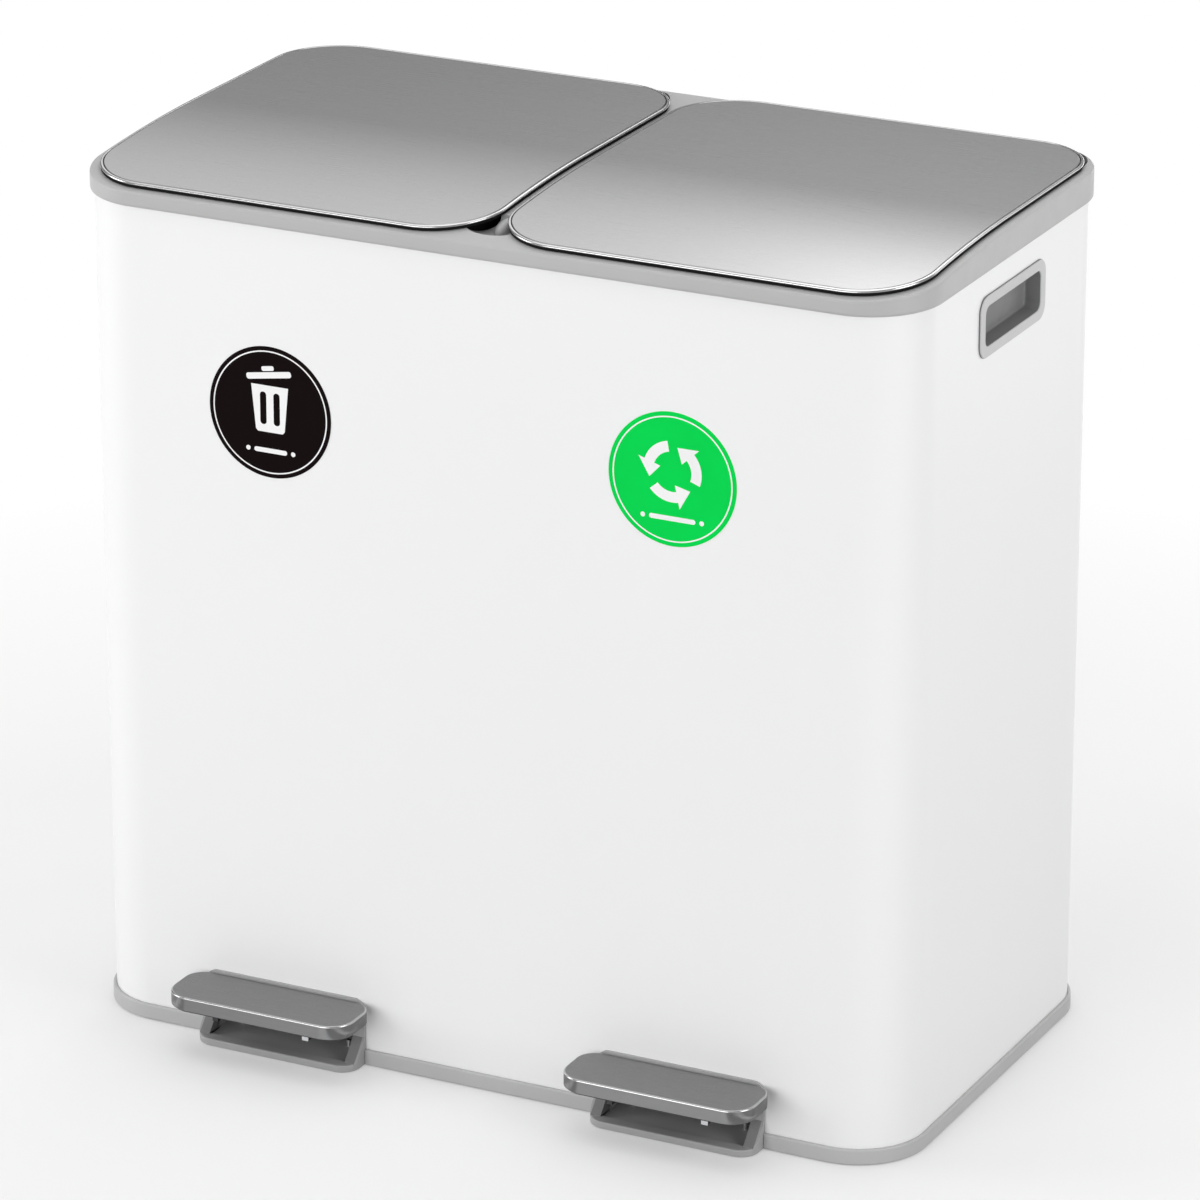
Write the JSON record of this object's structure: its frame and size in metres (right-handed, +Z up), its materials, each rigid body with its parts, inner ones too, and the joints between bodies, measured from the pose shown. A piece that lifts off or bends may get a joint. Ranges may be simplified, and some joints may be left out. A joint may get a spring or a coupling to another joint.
{
  "type": "double pedal recycling bin",
  "caption": "White rounded-box pedal bin with side-by-side lift-out buckets, each under its own hinged brushed steel lid opened by its own foot pedal.",
  "frame": {"origin": "on the floor under the middle of the whole object's box, pedals and rim included", "axes": "+X to the right as seen from the front, +Y from the pedals to the rear, +Z up"},
  "size_m": [0.5964, 0.3724, 0.5932],
  "materials": {
    "white_coated_steel": "smooth satin white powder coat",
    "light_grey_plastic": "fine matte moulded light grey",
    "mid_grey_plastic": "fine matte moulded grey",
    "dark_plastic": "matte moulded near-black",
    "bucket_plastic": "matte moulded dark grey",
    "brushed_steel": "fine straight brushed grain, polished round edge",
    "zinc_steel": "bright zinc plate",
    "rubber": "matte black",
    "black_label": "smooth printed film",
    "green_label": "smooth printed film"
  },
  "bodies": {
    "body": {"outer_body": "white_coated_steel", "top_rim": "light_grey_plastic", "base_tray": "mid_grey_plastic", "bucket_shelf": "dark_plastic", "foot_front_left": "rubber", "foot_front_right": "rubber", "foot_rear_left": "rubber", "foot_rear_right": "rubber", "shelf_post_front_left": "dark_plastic", "shelf_post_front_middle": "dark_plastic", "shelf_post_front_right": "dark_plastic", "shelf_post_rear_left": "dark_plastic", "shelf_post_rear_middle": "dark_plastic", "shelf_post_rear_right": "dark_plastic", "shelf_screw_front_left": "zinc_steel", "shelf_screw_front_middle": "zinc_steel", "shelf_screw_front_right": "zinc_steel", "shelf_screw_rear_left": "zinc_steel", "shelf_screw_rear_middle": "zinc_steel", "shelf_screw_rear_right": "zinc_steel", "housing_screw_left_a": "zinc_steel", "housing_screw_left_b": "zinc_steel", "housing_screw_right_a": "zinc_steel", "housing_screw_right_b": "zinc_steel", "hinge_pin_left_a": "zinc_steel", "hinge_pin_left_b": "zinc_steel", "hinge_pin_right_a": "zinc_steel", "hinge_pin_right_b": "zinc_steel", "label_left": "black_label", "label_right": "green_label", "handle_cup_left": "light_grey_plastic", "handle_cup_right": "light_grey_plastic", "pedal_housing_left": "mid_grey_plastic", "pedal_housing_right": "mid_grey_plastic", "pedal_pin_left": "zinc_steel", "pedal_pin_right": "zinc_steel", "rod_guide_left": "dark_plastic", "rod_guide_right": "dark_plastic", "lid_bumper_left_a": "rubber", "lid_bumper_left_b": "rubber", "lid_bumper_right_a": "rubber", "lid_bumper_right_b": "rubber"},
    "lid_left": {"lid_skin_left": "brushed_steel", "lid_liner_left": "dark_plastic"},
    "lid_right": {"lid_skin_right": "brushed_steel", "lid_liner_right": "dark_plastic"},
    "pedal_left": {"pedal_plate_left": "brushed_steel", "pedal_core_left": "dark_plastic", "pedal_lever_left": "zinc_steel"},
    "pedal_right": {"pedal_plate_right": "brushed_steel", "pedal_core_right": "dark_plastic", "pedal_lever_right": "zinc_steel"},
    "rod_left": {"push_rod_left": "zinc_steel"},
    "rod_right": {"push_rod_right": "zinc_steel"},
    "bucket_left": {"bucket_left": "bucket_plastic"},
    "bucket_right": {"bucket_right": "bucket_plastic"}
  },
  "joints": [
    {"name": "lid_left_hinge", "type": "hinge", "parent": "body", "child": "lid_left", "pos_m": [-0.1477, 0.1777, 0.5875], "axis": [-1, 0, 0], "range_deg": [0, 80]},
    {"name": "lid_right_hinge", "type": "hinge", "parent": "body", "child": "lid_right", "pos_m": [0.1477, 0.1777, 0.5875], "axis": [-1, 0, 0], "range_deg": [0, 80]},
    {"name": "pedal_left_pivot", "type": "hinge", "parent": "body", "child": "pedal_left", "pos_m": [-0.145, -0.0378, 0.02], "axis": [1, 0, 0], "range_deg": [0, 8.19]},
    {"name": "pedal_right_pivot", "type": "hinge", "parent": "body", "child": "pedal_right", "pos_m": [0.145, -0.0378, 0.02], "axis": [1, 0, 0], "range_deg": [0, 8.19]},
    {"name": "rod_left_slide", "type": "slide", "parent": "body", "child": "rod_left", "axis": [0, 0, 1], "range_m": [0, 0.0283]},
    {"name": "rod_right_slide", "type": "slide", "parent": "body", "child": "rod_right", "axis": [0, 0, 1], "range_m": [0, 0.0283]},
    {"name": "bucket_left_lift", "type": "slide", "parent": "body", "child": "bucket_left", "axis": [0, 0, 1], "range_m": [0, 0.008]},
    {"name": "bucket_right_lift", "type": "slide", "parent": "body", "child": "bucket_right", "axis": [0, 0, 1], "range_m": [0, 0.008]}
  ],
  "couplings": [
    {"joint": "rod_left_slide", "follows": "lid_left_hinge", "m_per_rad": 0.02025},
    {"joint": "pedal_left_pivot", "follows": "lid_left_hinge", "ratio": 0.1023},
    {"joint": "rod_right_slide", "follows": "lid_right_hinge", "m_per_rad": 0.02025},
    {"joint": "pedal_right_pivot", "follows": "lid_right_hinge", "ratio": 0.1023}
  ]
}
